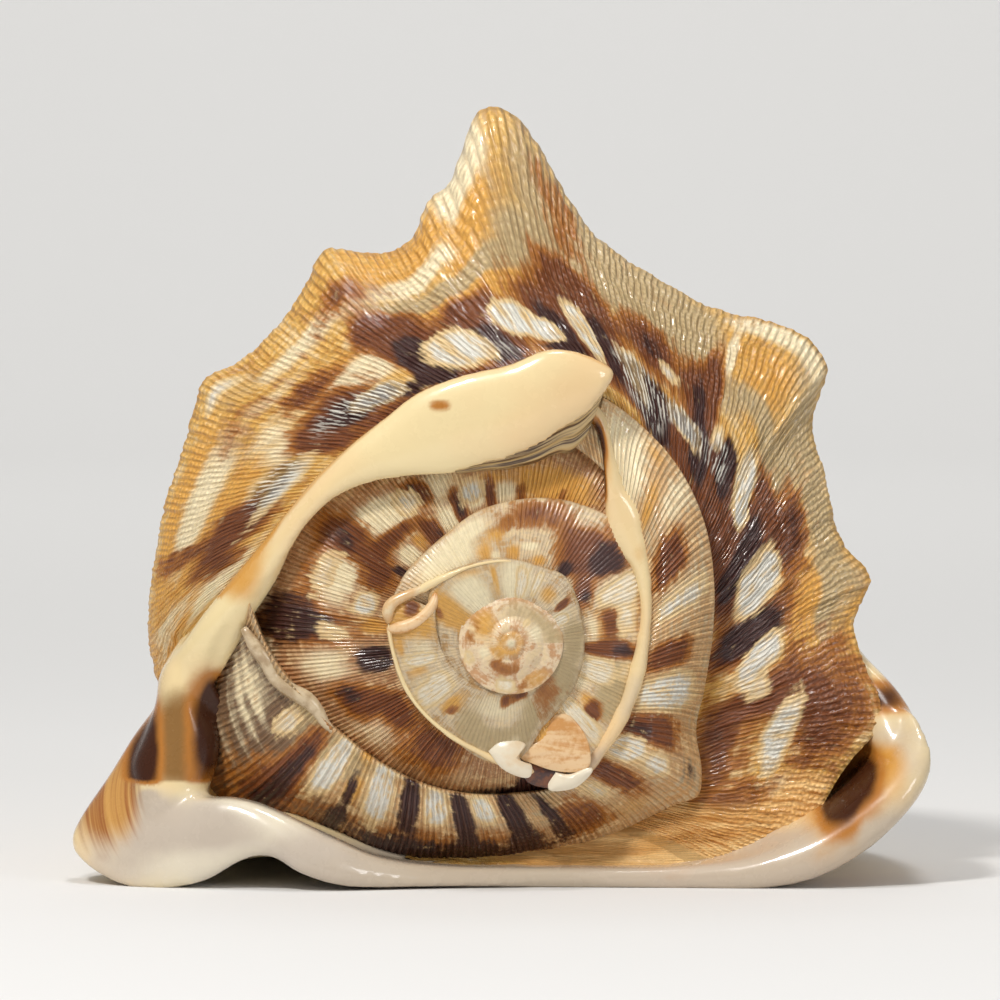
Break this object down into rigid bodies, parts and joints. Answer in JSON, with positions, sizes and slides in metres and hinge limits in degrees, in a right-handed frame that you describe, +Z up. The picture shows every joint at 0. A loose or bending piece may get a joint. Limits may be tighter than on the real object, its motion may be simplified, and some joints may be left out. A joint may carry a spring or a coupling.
{
  "type": "helmet shell",
  "caption": "Heavy coiled sea shell with a low ribbed spire, a horned shoulder, a tapering body and a wide glossy mouth shield that it rests on",
  "frame": {"origin": "centre of the bounding box in plan, on the plane that the shell rests on", "axes": "+Z is up. The coiling axis runs along Y: the spire looks along -Y and the siphon canal points along +Y. The outer lip is on the +X side. Metres."},
  "size_m": [0.2152, 0.2378, 0.1954],
  "materials": {
    "shell": "glossy"
  },
  "bodies": {
    "root": {"helmet_shell": "shell"}
  },
  "joints": []
}
